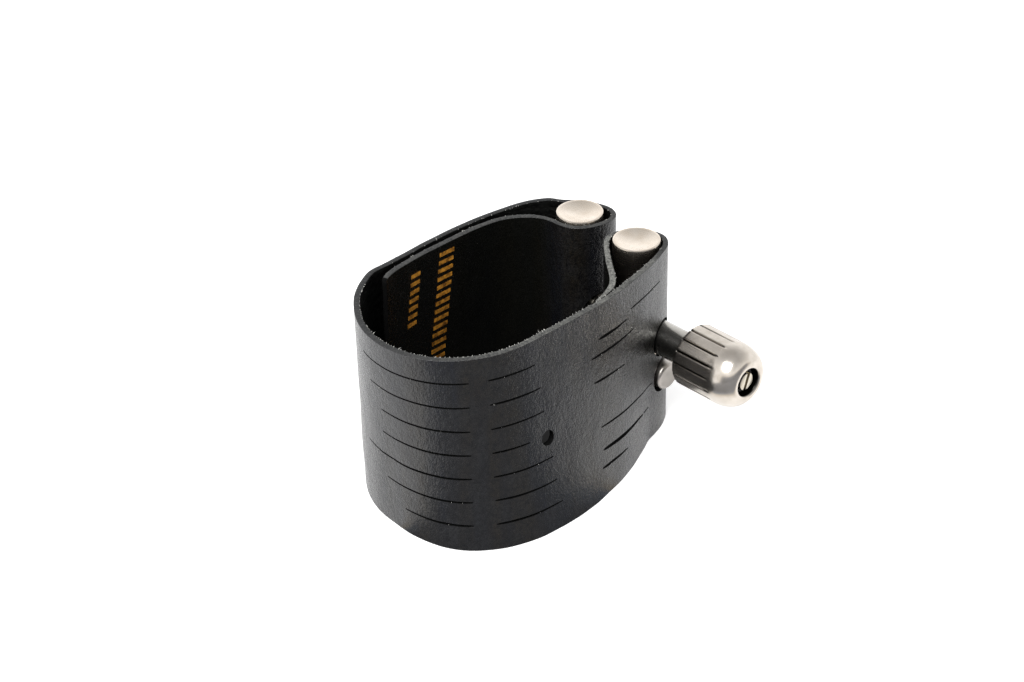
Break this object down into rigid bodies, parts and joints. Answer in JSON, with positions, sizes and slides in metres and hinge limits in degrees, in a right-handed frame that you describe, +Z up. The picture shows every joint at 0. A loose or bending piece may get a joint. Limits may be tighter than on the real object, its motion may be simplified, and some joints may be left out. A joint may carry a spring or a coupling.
{
  "type": "saxophone ligature",
  "caption": "Strap ligature that clamps a reed to a saxophone mouthpiece: a slit synthetic band looped round two barrels that one grooved knob screw draws together.",
  "frame": {"origin": "on the axis of the round bend that seats the mouthpiece, level with the band's lower rim", "axes": "+Z up along the mouthpiece's axis; +X from the bend to the two barrels; the knob stands out along -Y"},
  "size_m": [0.0419, 0.0377, 0.0257],
  "materials": {
    "strap": "woven fabric under a satin black coating",
    "barrel_metal": "satin nickel plate",
    "knob_metal": "polished nickel plate",
    "stud_metal": "turned, bare",
    "seal": "matte black"
  },
  "bodies": {
    "front_band": {"strap_front": "strap"},
    "back_band": {"strap_back": "strap"},
    "near_roller": {"near_barrel": "barrel_metal"},
    "far_roller": {"far_barrel": "barrel_metal", "guide_pin": "barrel_metal"},
    "screw": {"screw_stud": "stud_metal", "shoulder_sleeve": "barrel_metal", "tuning_knob": "knob_metal", "knob_seal": "seal"}
  },
  "joints": [
    {"name": "screw_turn", "type": "hinge", "parent": "near_roller", "child": "screw", "pos_m": [0.02475, -0.0044, 0.01325], "axis": [0, 1, 0], "range_deg": [-1620, 540]},
    {"name": "band_fold", "type": "hinge", "parent": "front_band", "child": "back_band", "pos_m": [-0.01253, 0.00055, 0], "axis": [0, 0, -1], "range_deg": [-5.51, 1.85]},
    {"name": "near_roller_swivel", "type": "hinge", "parent": "front_band", "child": "near_roller", "pos_m": [0.02475, -0.0044, 0], "axis": [0, 0, -1], "range_deg": [-2.77, 0.94]},
    {"name": "far_roller_swivel", "type": "hinge", "parent": "back_band", "child": "far_roller", "pos_m": [0.02475, 0.0055, 0], "axis": [0, 0, 1], "range_deg": [-2.77, 0.94]}
  ],
  "couplings": [
    {"joint": "band_fold", "follows": "screw_turn", "ratio": 0.0033884},
    {"joint": "near_roller_swivel", "follows": "screw_turn", "ratio": 0.0016942},
    {"joint": "far_roller_swivel", "follows": "screw_turn", "ratio": 0.0016942}
  ]
}
